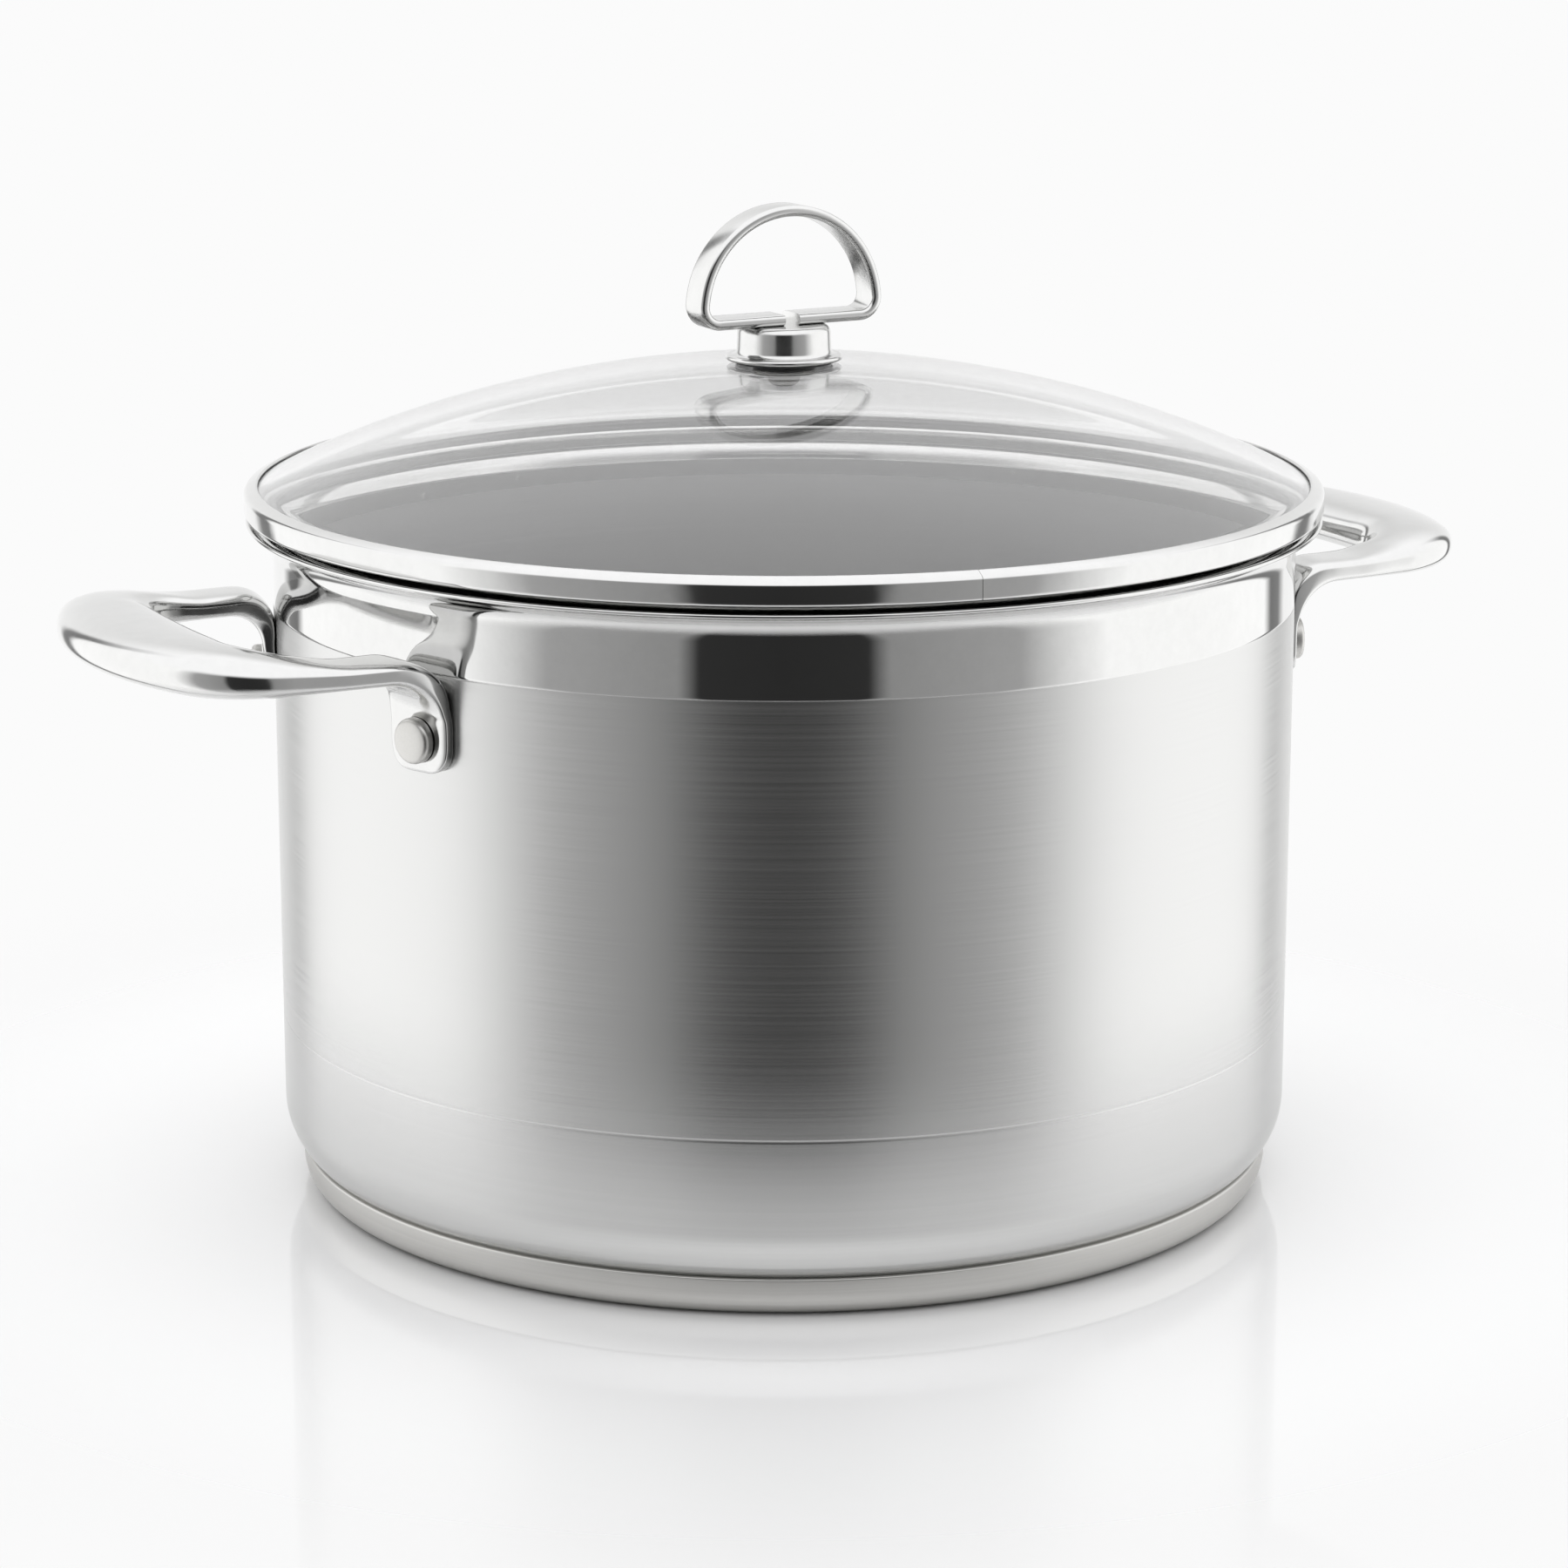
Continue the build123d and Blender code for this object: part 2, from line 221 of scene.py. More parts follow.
steel = {"polished": "#D2D2D1", "brushed": "#D0D0CF", "inside": "#D8D8D7", "satin": "#C9C8C5"}


def grainedSteel(name, colour, grain):
    # 18/10 stainless steel with a drawn grain. lines: how fast it changes along and across, per metre;
    # roughness: between and on the lines; stretch: how far the lines draw out a highlight
    material = newMaterial(name)
    tree = material.node_tree
    place = addNode(tree, "ShaderNodeTexCoord")
    along, lines = grain["lines"]
    stretched = addNode(
        tree, "ShaderNodeMapping", values={"Scale": (along, along, lines)},
        links={"Vector": place.outputs["Object"]},
    )
    fine = addNode(
        tree, "ShaderNodeTexNoise", values={"Scale": 1, "Detail": 4, "Roughness": 0.65},
        links={"Vector": stretched.outputs["Vector"]},
    )
    patches = addNode(
        tree, "ShaderNodeTexNoise", values={"Scale": 14, "Detail": 3},
        links={"Vector": place.outputs["Object"]},
    )
    mixed = addNode(
        tree, "ShaderNodeMix", {"data_type": "FLOAT"}, values={0: 0.3},
        links={2: fine.outputs["Fac"], 3: patches.outputs["Fac"]},
    )
    low, high = grain["roughness"]
    rough = addNode(
        tree, "ShaderNodeMapRange", values={"From Min": 0.3, "From Max": 0.7, "To Min": low, "To Max": high},
        links={"Value": mixed.outputs[0]},
    )
    tint = addNode(tree, "ShaderNodeValToRGB", links={"Fac": mixed.outputs[0]})
    shade = linear(colour)
    tint.color_ramp.elements[0].position = 0.3
    tint.color_ramp.elements[0].color = [c * grain["darkest"] for c in shade[:3]] + [1]
    tint.color_ramp.elements[1].position = 0.7
    tint.color_ramp.elements[1].color = shade
    bump = addNode(
        tree, "ShaderNodeBump", values={"Strength": grain["strength"], "Distance": grain["depth"]},
        links={"Height": fine.outputs["Fac"]},
    )
    links = {
        "Base Color": tint.outputs["Color"], "Roughness": rough.outputs["Result"],
        "Normal": bump.outputs["Normal"],
    }
    values = {"Metallic": 1}
    if grain["stretch"]:
        tangent = addNode(tree, "ShaderNodeTangent", {"direction_type": "RADIAL", "axis": "Z"})
        links["Tangent"] = tangent.outputs["Tangent"]
        values["Anisotropic"] = grain["stretch"]
    return finishMaterial(material, values, links)


def polishedSteel(name, colour, roughness, waveDepth, waveSize):
    # buffed stainless steel: a near mirror with the faint swell and haze that the wheel leaves
    material = newMaterial(name)
    tree = material.node_tree
    place = addNode(tree, "ShaderNodeTexCoord")
    swell = addNode(
        tree, "ShaderNodeTexNoise", values={"Scale": 1 / waveSize, "Detail": 1},
        links={"Vector": place.outputs["Object"]},
    )
    haze = addNode(
        tree, "ShaderNodeTexNoise", values={"Scale": 260, "Detail": 5, "Roughness": 0.7},
        links={"Vector": place.outputs["Object"]},
    )
    rough = addNode(
        tree, "ShaderNodeMapRange",
        values={"From Min": 0.3, "From Max": 0.7, "To Min": roughness * 0.75, "To Max": roughness * 1.35},
        links={"Value": haze.outputs["Fac"]},
    )
    tint = addNode(
        tree, "ShaderNodeMix", {"data_type": "RGBA"},
        values={6: linear(colour), 7: [c * 0.9 for c in linear(colour)[:3]] + [1]},
        links={0: haze.outputs["Fac"]},
    )
    bump = addNode(
        tree, "ShaderNodeBump", values={"Strength": 1, "Distance": waveDepth},
        links={"Height": swell.outputs["Fac"]},
    )
    links = {
        "Base Color": tint.outputs[2], "Roughness": rough.outputs["Result"], "Normal": bump.outputs["Normal"],
    }
    return finishMaterial(material, {"Metallic": 1}, links)


def temperedGlass():
    # soda-lime glass, faintly green where it is looked through at a slant, drawn here almost clear and
    # untinted with faint waves
    material = newMaterial("temperedSodaLimeGlass")
    tree = material.node_tree
    place = addNode(tree, "ShaderNodeTexCoord")
    waves = addNode(
        tree, "ShaderNodeTexNoise", values={"Scale": 9, "Detail": 1},
        links={"Vector": place.outputs["Object"]},
    )
    bump = addNode(
        tree, "ShaderNodeBump", values={"Strength": 0.4, "Distance": 0.00008},
        links={"Height": waves.outputs["Fac"]},
    )
    return finishMaterial(
        material,
        {"Base Color": linear("#FCFCFC"), "Transmission Weight": 1, "IOR": 1.52, "Roughness": 0},
        {"Normal": bump.outputs["Normal"]},
    )


def mouldedRubber():
    # silicone gasket: dark, dull, with the fine bloom of a moulded part
    material = newMaterial("mouldedSiliconeRubber")
    tree = material.node_tree
    place = addNode(tree, "ShaderNodeTexCoord")
    bloom = addNode(
        tree, "ShaderNodeTexNoise", values={"Scale": 900, "Detail": 3},
        links={"Vector": place.outputs["Object"]},
    )
    tint = addNode(
        tree, "ShaderNodeMix", {"data_type": "RGBA"}, values={6: linear("#2B2B2B"), 7: linear("#3A3A39")},
        links={0: bloom.outputs["Fac"]},
    )
    bump = addNode(
        tree, "ShaderNodeBump", values={"Strength": 0.3, "Distance": 0.0001},
        links={"Height": bloom.outputs["Fac"]},
    )
    return finishMaterial(
        material, {"Roughness": 0.6}, {"Base Color": tint.outputs[2], "Normal": bump.outputs["Normal"]},
    )


wallGrain = {
    # scratches are about 0.1 mm apart on the real wall; drawn 0.7 mm apart so that they show
    "lines": (1.5, 1400), "roughness": (0.17, 0.23), "darkest": 0.94, "strength": 0.1, "depth": 0.00001,
    "stretch": 0.95,
}
insideGrain = {
    "lines": (1.5, 900), "roughness": (0.27, 0.36), "darkest": 0.92, "strength": 0.05, "depth": 0.00001,
    "stretch": 0.9,
}
turnedGrain = {
    "lines": (20, 2400), "roughness": (0.28, 0.38), "darkest": 0.9, "strength": 0.3, "depth": 0.00002,
    "stretch": 0.5,
}
blastedGrain = {
    "lines": (1500, 1500), "roughness": (0.30, 0.42), "darkest": 0.88, "strength": 0.4, "depth": 0.00003,
    "stretch": 0,
}

finishes = {
    "wall": grainedSteel("brushedStainlessWall", steel["brushed"], wallGrain),
    "inside": grainedSteel("brushedStainlessInside", steel["inside"], insideGrain),
    "base": grainedSteel("turnedStainlessBase", steel["satin"], turnedGrain),
    "satin": grainedSteel("blastedStainless", steel["satin"], blastedGrain),
    "mirror": polishedSteel("mirrorStainlessBand", steel["polished"], 0.05, 0.000003, 0.03),
    "cast": polishedSteel("buffedCastStainless", steel["polished"], 0.10, 0.00012, 0.016),
    "rolled": polishedSteel("rolledStainlessBand", steel["polished"], 0.08, 0.00004, 0.008),
    "strip": polishedSteel("buffedStainlessStrip", steel["polished"], 0.14, 0.00001, 0.02),
    "cap": polishedSteel("spunStainlessCap", steel["polished"], 0.17, 0.00001, 0.01),
    "glass": temperedGlass(),
    "rubber": mouldedRubber(),
    "aluminium": grainedSteel("rolledAluminiumCore", "#D8D9DA", turnedGrain),
}
print("materials made")


# Turned pieces: a ring is drawn out from radius to radius, as on a lathe

def arc(centreRadius, centreHeight, radius, start, end, steps):
    turns = [math.radians(start + (end - start) * i / steps) for i in range(steps + 1)]
    return [(centreRadius + radius * math.cos(t), centreHeight + radius * math.sin(t)) for t in turns]


def turnPiece(name, rings, sides, joined):
    bpy.ops.object.select_all(action="DESELECT")
    radius, height = rings[0]
    bpy.ops.mesh.primitive_circle_add(
        vertices=sides, radius=radius * mm, location=(0, 0, height * mm), fill_type="NOTHING",
    )
    piece = bpy.context.object
    piece.name = name
    piece.data.name = name
    bpy.ops.object.transform_apply(location=True, rotation=True, scale=True)
    bpy.ops.object.mode_set(mode="EDIT")
    bpy.ops.mesh.select_all(action="SELECT")
    for nextRadius, nextHeight in rings[1:]:
        rise = (nextHeight - height) * mm
        bpy.ops.mesh.extrude_edges_move(TRANSFORM_OT_translate={"value": (0, 0, rise)})
        share = nextRadius / radius
        bpy.ops.transform.resize(value=(share, share, 1), center_override=(0, 0, nextHeight * mm))
        radius, height = nextRadius, nextHeight
    if not joined:
        bpy.ops.mesh.edge_face_add()
        bpy.ops.mesh.select_all(action="DESELECT")
        bpy.ops.mesh.select_non_manifold()
        bpy.ops.mesh.edge_face_add()
    bpy.ops.mesh.select_all(action="SELECT")
    bpy.ops.mesh.remove_doubles(threshold=0.000002)
    bpy.ops.mesh.normals_make_consistent(inside=False)
    bpy.ops.object.mode_set(mode="OBJECT")
    bpy.ops.object.shade_smooth_by_angle(angle=math.radians(32))
    return piece


def giveFinish(piece, finish):
    piece.data.materials.clear()
    piece.data.materials.append(finishes[finish])


def mount(piece, body, slot, *nodes):
    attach(piece, body)
    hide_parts(*nodes)


def top(node):
    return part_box(node)[1]


def copyPiece(piece, name):
    # a copy with a mesh of its own
    copied = piece.copy()
    copied.data = piece.data.copy()
    copied.name = name
    copied.data.name = name
    bpy.context.scene.collection.objects.link(copied)
    return copied


def placePiece(piece, matrix):
    bpy.ops.object.select_all(action="DESELECT")
    piece.select_set(True)
    bpy.context.view_layer.objects.active = piece
    piece.matrix_world = matrix
    bpy.ops.object.transform_apply(location=True, rotation=True, scale=True)


# Pot body

pot = {
    "sides": 256, "radius": 121.0, "wall": 1.0, "corner": 15.0, "lipTurn": 84.0, "lipRise": 7.2,
    "rimHeight": 161.0, "middle": 30,
    "scribes": ((42.5, 0.05), (141.0, 0.1)), "scribeWidth": 0.28, "polishedInside": 150.0,
}
potRadius = pot["radius"]
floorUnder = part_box("pot_body")[0].z / mm


def makePot():
    wall, corner = pot["wall"], pot["corner"]
    flare = pot["lipRise"] / math.sin(math.radians(pot["lipTurn"])) - wall
    flareZ = pot["rimHeight"] - pot["lipRise"]
    flareX = potRadius + flare
    lipTurn = 180 - pot["lipTurn"]
    outside = arc(potRadius - corner, floorUnder + corner, corner, -90, 0, 14)
    for height, depth in pot["scribes"]:
        half = pot["scribeWidth"]
        outside += [(potRadius, height - 2 * half), (potRadius, height - half), (potRadius - depth, height)]
        outside += [(potRadius, height + half), (potRadius, height + 2 * half)]
    lip = arc(flareX, flareZ, flare, 180, lipTurn, 14)
    crestX, crestZ = arc(flareX, flareZ, flare + wall / 2, lipTurn, lipTurn, 1)[0]
    crest = arc(crestX, crestZ, wall / 2, lipTurn - 180, lipTurn, 6)[1:-1]
    lipInside = arc(flareX, flareZ, flare + wall, lipTurn, 180, 16)
    inside = [(potRadius - wall, pot["polishedInside"])]
    inside += arc(potRadius - corner, floorUnder + corner, corner - wall, 0, -90, 14)
    rings = [(pot["middle"], floorUnder)] + outside + lip + crest + lipInside + inside
    rings += [(pot["middle"], floorUnder + wall)]
    piece = turnPiece("potWall", rings, pot["sides"], False)
    for finish in ("wall", "mirror", "inside"):
        piece.data.materials.append(finishes[finish])
    upperScribe = pot["scribes"][1][0]
    for face in piece.data.polygons:
        reach = math.hypot(face.center.x, face.center.y) / mm
        height = face.center.z / mm
        if height > upperScribe and (reach > potRadius - wall / 2 or height > pot["polishedInside"]):
            face.material_index = 1
        elif reach < potRadius - wall / 2 and height > floorUnder + wall / 2 and face.normal.z > -0.5:
            face.material_index = 2 if isInside(face) else 0
    mount(piece, "pot", "pot_steel", "pot_body")


def isInside(face):
    # the inner wall and floor look towards the axis or straight up
    outward = face.center.x * face.normal.x + face.center.y * face.normal.y
    return outward < 0 or face.normal.z > 0.5


# Base capsule

capsule = {
    "sides": 256, "height": 9.4, "corner": 6.0, "edge": 0.5, "contact": 110.8, "lap": 0.6, "tuck": 1.0,
    "tuckDrop": 1.2, "hollow": 6.0, "gap": 0.3, "middle": 30,
}


def makeBase():
    outer = top("base_shell").x / mm
    corner, edge = capsule["corner"], capsule["edge"]
    contact, under = capsule["contact"], floorUnder - capsule["gap"]
    rings = [(capsule["middle"], 0)] + arc(outer - corner, corner, corner, -90, 0, 10)
    rings += arc(outer - edge, capsule["height"] - edge, edge, 0, 90, 5)
    rings += [(contact + capsule["lap"], capsule["height"])]
    rings += [(contact - capsule["tuck"], capsule["height"] - capsule["tuckDrop"])]
    rings += [(contact - capsule["hollow"], under), (capsule["middle"], under)]
    piece = turnPiece("baseCapsule", rings, capsule["sides"], False)
    giveFinish(piece, "base")
    mount(piece, "pot", "satin_steel", "base_shell")


# Glass dome

dome = {
    "sides": 256, "crown": 288.0, "thickness": 3.5, "edge": 1.0, "bore": 3.2, "steps": 40, "gasket": 0.5,
    "capHeight": 8.3, "rimShare": 0.7, "upperDrops": (0.55, 1.3), "lowerRises": (1.0, 0.25),
}
glassRadius = top("lid_glass").x / mm
crownZ = top("knob_cap").z / mm - dome["capHeight"] - dome["gasket"] - dome["crown"]


def makeDome():
    crown, thickness, edge = dome["crown"], dome["thickness"], dome["edge"]

    def surface(radius, ball):
        return crownZ + math.sqrt(ball**2 - radius**2)

    reach = glassRadius - edge
    outerRings = []
    for i in range(dome["steps"] + 1):
        radius = dome["bore"] + (reach - dome["bore"]) * i / dome["steps"]
        outerRings.append((radius, surface(radius, crown)))
    innerRings = [(r, surface(r, crown - thickness)) for r, _ in reversed(outerRings)]
    upper = outerRings[-1][1]
    lower = innerRings[0][1]
    rimReach = reach + edge * dome["rimShare"]
    rimRings = [(rimReach, upper - dome["upperDrops"][0]), (glassRadius, upper - dome["upperDrops"][1])]
    rimRings += [(glassRadius, lower + dome["lowerRises"][0]), (rimReach, lower + dome["lowerRises"][1])]
    rings = outerRings + rimRings + innerRings + [outerRings[0]]
    piece = turnPiece("lidDome", rings, dome["sides"], True)
    giveFinish(piece, "glass")
    piece.visible_shadow = False
    mount(piece, "lid", "lid_glass", "lid_glass")


# Rolled band round the glass

band = {
    "sides": 256, "wall": 0.8, "lipRadius": 124.4, "shoulder": 1.5, "corner": 1.1, "skirtRadius": 121.5,
    "lidGap": 1.5,
    "seamTurn": -99.1, "seamWidth": 0.15, "seamDepth": 0.2,
}
bandRadius = top("lid_band").x / mm
bandLow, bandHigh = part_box("lid_band")[0].z / mm, top("lid_band").z / mm


def makeBand():
    wall, shoulder, corner = band["wall"], band["shoulder"], band["corner"]
    underside = pot["rimHeight"] + band["lidGap"]
    skirtOut = band["skirtRadius"] + wall / 2
    skirtIn = band["skirtRadius"] - wall / 2
    drop = math.degrees(math.asin(band["lipRadius"] / dome["crown"]))
    lipTop = bandHigh - wall / 2
    lipX = band["lipRadius"]
    shoulderZ = lipTop - (bandRadius - shoulder - lipX) * math.tan(math.radians(drop))
    rings = arc(bandRadius - shoulder, shoulderZ - shoulder + wall / 2, shoulder, 0, 90 - drop, 8)
    rings += arc(lipX, lipTop, wall / 2, 90 - drop, 270 - drop, 6)
    rings += arc(bandRadius - shoulder, shoulderZ - shoulder + wall / 2, shoulder - wall, 90 - drop, 0, 4)
    rings += arc(bandRadius - corner, underside + corner, corner - wall, 0, -90, 4)
    rings += arc(skirtIn + corner, underside + wall - corner, corner, 90, 180, 6)
    rings += [(skirtIn, bandLow), (skirtOut, bandLow)]
    rings += arc(skirtIn + corner, underside + wall - corner, corner - wall, 180, 90, 4)
    rings += arc(bandRadius - corner, underside + corner, corner, -90, 0, 6)
    rings += [rings[0]]
    piece = turnPiece("lidBand", rings, band["sides"], True)
    cutSeam(piece)
    giveFinish(piece, "rolled")
    mount(piece, "lid", "polished_steel", "lid_band")


def cutSeam(piece):
    # the butt joint of the rolled strip: a fine groove straight across the band
    turn = math.radians(band["seamTurn"])
    plane = Vector((-math.sin(turn), math.cos(turn), 0))
    outward = Vector((math.cos(turn), math.sin(turn), 0))
    bpy.ops.object.mode_set(mode="EDIT")
    for offset in (-1, 0, 1):
        bpy.ops.mesh.select_all(action="SELECT")
        bpy.ops.mesh.bisect(plane_co=plane * offset * band["seamWidth"] * mm, plane_no=plane)
    bpy.ops.mesh.select_all(action="DESELECT")
    bpy.ops.object.mode_set(mode="OBJECT")
    for vertex in piece.data.vertices:
        vertex.select = abs(vertex.co.dot(plane)) < 0.05 * mm and vertex.co.dot(outward) > 0
    bpy.ops.object.mode_set(mode="EDIT")
    bpy.ops.mesh.select_mode(type="VERT")
    bpy.ops.transform.shrink_fatten(value=-band["seamDepth"] * mm)
    bpy.ops.object.mode_set(mode="OBJECT")
    bpy.ops.object.shade_smooth_by_angle(angle=math.radians(32))


# Knob cap, washer and screw

knobCap = {
    "sides": 96, "height": 8.3, "wall": 1.2, "topRadius": 11.0, "waist": 11.15, "flange": 13.8,
    "shoulder": 1.9, "flare": 1.5, "bore": 1.0, "taper": 0.05, "waistRise": 1.4, "footIn": 1.6,
    "footRise": 1.2, "insideDrop": 2.5, "insideCorner": 1.3,
}


def makeKnobCap():
    capTop = top("knob_cap").z / mm
    bottom = capTop - knobCap["height"]
    shoulder, flare, wall = knobCap["shoulder"], knobCap["flare"], knobCap["wall"]
    waist, flange = knobCap["waist"], knobCap["flange"]
    bore, inside = knobCap["bore"], waist - wall
    rings = [(bore, capTop)] + arc(knobCap["topRadius"] - shoulder, capTop - shoulder, shoulder, 90, 0, 10)
    rings += [(waist - knobCap["taper"], bottom + wall + flare + knobCap["waistRise"])]
    rings += arc(waist + flare, bottom + wall + flare, flare, 180, 270, 8)
    rings += arc(flange - wall / 2, bottom + wall / 2, wall / 2, 90, -90, 8)
    rings += [(flange - knobCap["footIn"], bottom), (inside, bottom + knobCap["footRise"])]
    rings += [(inside, capTop - knobCap["insideDrop"])]
    rings += [(inside - knobCap["insideCorner"], capTop - wall), (bore, capTop - wall)]
    piece = turnPiece("knobCup", rings, knobCap["sides"], False)
    giveFinish(piece, "cap")
    mount(piece, "lid", "polished_steel", "knob_cap")


fixing = {
    "washerSides": 64, "washerBore": 2.2, "washerEdge": 0.25, "screwSides": 48, "screwMiddle": 0.4,
    "screwHead": 2.4, "screwEdge": 2.1, "shank": 2.0,
}


def makeFixings():
    low, high = (corner.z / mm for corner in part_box("knob_washer"))
    reach = top("knob_washer").x / mm
    edge, bore = fixing["washerEdge"], fixing["washerBore"]
    rings = [(bore, low), (reach - edge, low), (reach, low + edge), (reach, high - edge)]
    rings += [(reach - edge, high), (bore, high), (bore, low)]
    washer = turnPiece("knobWasherTurned", rings, fixing["washerSides"], True)
    giveFinish(washer, "satin")
    mount(washer, "lid", "satin_steel", "knob_washer")
    low, high = (corner.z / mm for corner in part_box("knob_screw"))
    head = top("knob_screw").x / mm
    edge, shank, headTop = fixing["screwEdge"], fixing["shank"], low + fixing["screwHead"]
    rings = [(fixing["screwMiddle"], low)] + arc(head - edge, low + edge, edge, -90, 0, 8)
    rings += [(head, headTop), (shank, headTop), (shank, high)]
    screw = turnPiece("knobScrewTurned", rings, fixing["screwSides"], False)
    giveFinish(screw, "satin")
    mount(screw, "lid", "satin_steel", "knob_screw")


# Rivets: one is turned, then copied to the four tabs

rivet = {
    "sides": 48, "head": 5.15, "headHeight": 2.6, "edge": 1.1, "edgeTurn": 78, "crown": 0.25, "seat": 124.0,
    "shank": 2.45, "tail": 118.0, "domeShares": (0.62, 0.3), "domeDrops": (0.1, 0.02), "middle": 0.3,
}


def makeRivets():
    head, edge, seat, shank = rivet["head"], rivet["edge"], rivet["seat"], rivet["shank"]
    face = seat + rivet["headHeight"]
    rings = [(shank, rivet["tail"]), (shank, seat), (head, seat)]
    rings += arc(head - edge, face - rivet["crown"] - edge, edge, 0, rivet["edgeTurn"], 8)
    rings += [(head * share, face - drop) for share, drop in zip(rivet["domeShares"], rivet["domeDrops"])]
    rings += [(rivet["middle"], face)]
    names = sorted(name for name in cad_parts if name.startswith("rivet_"))
    first = turnPiece(names[0] + "_turned", rings, rivet["sides"], False)
    giveFinish(first, "satin")
    pieces = [first] + [copyPiece(first, name + "_turned") for name in names[1:]]
    for name, piece in zip(names, pieces):
        low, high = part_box(name)
        middle = (low + high) / 2
        lay = Matrix.Rotation(math.atan2(middle.y, middle.x), 4, "Z") @ Matrix.Rotation(math.pi / 2, 4, "Y")
        placePiece(piece, Matrix.Translation((0, 0, middle.z)) @ lay)
        mount(piece, "pot", "satin_steel", name)


# Side handles: each is cast in one run, from tab to tab round the grip. Its sections change from a flat
# plate to a rounded grip all the way, so they are placed one by one and skinned. A section is its centre,
# half its width, half its depth and how square it is: 2 is an ellipse and more is squarer

handle = {
    "innerY": 35.6, "outerY": 51.7, "tabBottom": 119.0, "tabThickness": 3.0, "tabCorner": 5.5,
    "wallGap": 0.05, "tabEdge": ((0, 0.45), (0.35, 0.8)), "tabRises": (1, 2, 3.4, 5.5, 9),
    "bend": 8.8, "heel": 9.0, "bendSteps": 12, "bendLean": 0.55, "legTop": 145.5, "legThickness": 5.5,
    "legStart": 130, "legRun": (130, 134), "legEase": 90, "legSkew": 0.5, "legNarrowing": 0.3,
    "gripWidth": 26.5, "gripTop": 149.9, "gripBottom": 138.6, "gripNarrowing": 0.8, "holeCorner": 13.0,
    "gripCorner": 27.0, "gripSide": 160.0, "cornerSteps": 10, "frontSteps": 6, "plateSquare": 6.0,
    "legSquare": 3.4, "gripSquare": 2.35, "easeSquare": 1.6, "sides": 40, "smoothing": 2,
}
tipX = top("handle_right").x / mm
legBottom = handle["legTop"] - handle["legThickness"]
legMiddle = (handle["innerY"] + handle["outerY"]) / 2


def blend(start, end, share):
    eased = share * share * (3 - 2 * share)
    return start + (end - start) * eased


def onCircle(radius, y):
    return math.sqrt(radius**2 - y**2)


def tabSections():
    wallSide = potRadius + handle["wallGap"]
    outside = potRadius + handle["tabThickness"]
    radius = (wallSide + outside) / 2
    halfWidth = (handle["outerY"] - handle["innerY"]) / 2
    outward = Vector((onCircle(radius, legMiddle), legMiddle, 0)).normalized()
    bendBottom = legBottom - handle["bend"] - handle["tabBottom"]
    corner = handle["tabCorner"]
    sections = []
    for up, thin in (*handle["tabEdge"], *((rise, 1) for rise in handle["tabRises"]), (bendBottom, 1)):
        half = halfWidth - corner + math.sqrt(corner**2 - max(0, corner - up) ** 2)
        inner = Vector((onCircle(radius, legMiddle - half), legMiddle - half, handle["tabBottom"] + up))
        outer = Vector((onCircle(radius, legMiddle + half), legMiddle + half, handle["tabBottom"] + up))
        depth = outward * (outside - wallSide) / 2 * thin
        sections.append(((inner + outer) / 2, (outer - inner) / 2, depth, handle["plateSquare"]))
    return sections


def bendSections():
    # radius and height of the bend's centre and of the heel's, which rounds the back of the bend
    bend, heel, steps = handle["bend"], handle["heel"], handle["bendSteps"]
    bendAt = Vector((potRadius + handle["tabThickness"] + bend, legBottom - bend))
    heelAt = Vector((potRadius + heel, handle["legTop"] - heel))
    toHeel = heelAt - bendAt
    sections = []
    for step in range(1, steps + 1):
        share = step / steps
        turn = math.pi / 2 * share
        ray = Vector((-math.cos(turn), math.sin(turn)))
        toWall = (bendAt.x - potRadius) / max(math.cos(turn), 0.001)
        toTop = (handle["legTop"] - bendAt.y) / max(math.sin(turn), 0.001)
        reach = min(toWall, toTop)
        hit = bendAt + ray * reach
        if hit.x < heelAt.x and hit.y > heelAt.y:
            along = toHeel.dot(ray)
            reach = along + math.sqrt(max(0, along**2 - toHeel.length_squared + heel**2))
        under, over = bendAt + ray * bend, bendAt + ray * reach
        radius, height = (under + over) / 2
        across = onCircle(radius, handle["outerY"]) - onCircle(radius, handle["innerY"])
        width = Vector((across / 2 * (1 - share * handle["bendLean"]), legMiddle - handle["innerY"], 0))
        centre = Vector((onCircle(radius, legMiddle), legMiddle, height))
        thick, rise = (under - over) / 2
        depth = Vector((centre.x, centre.y, 0)).normalized() * thick + Vector((0, 0, rise))
        sections.append((centre, width, depth, blend(handle["plateSquare"], handle["legSquare"], share)))
    return sections


def gripSection(inner, outer, share):
    # inner and outer are plan points, and share runs from the leg to the grip
    upper = blend(handle["legTop"], handle["gripTop"], share)
    lower = blend(legBottom, handle["gripBottom"], share)
    inner, outer = Vector((*inner, 0)), Vector((*outer, 0))
    centre = (inner + outer) / 2 + Vector((0, 0, (upper + lower) / 2))
    square = blend(handle["legSquare"], handle["gripSquare"], min(1, share * handle["easeSquare"]))
    return centre, (outer - inner) / 2, Vector((0, 0, (lower - upper) / 2)), square


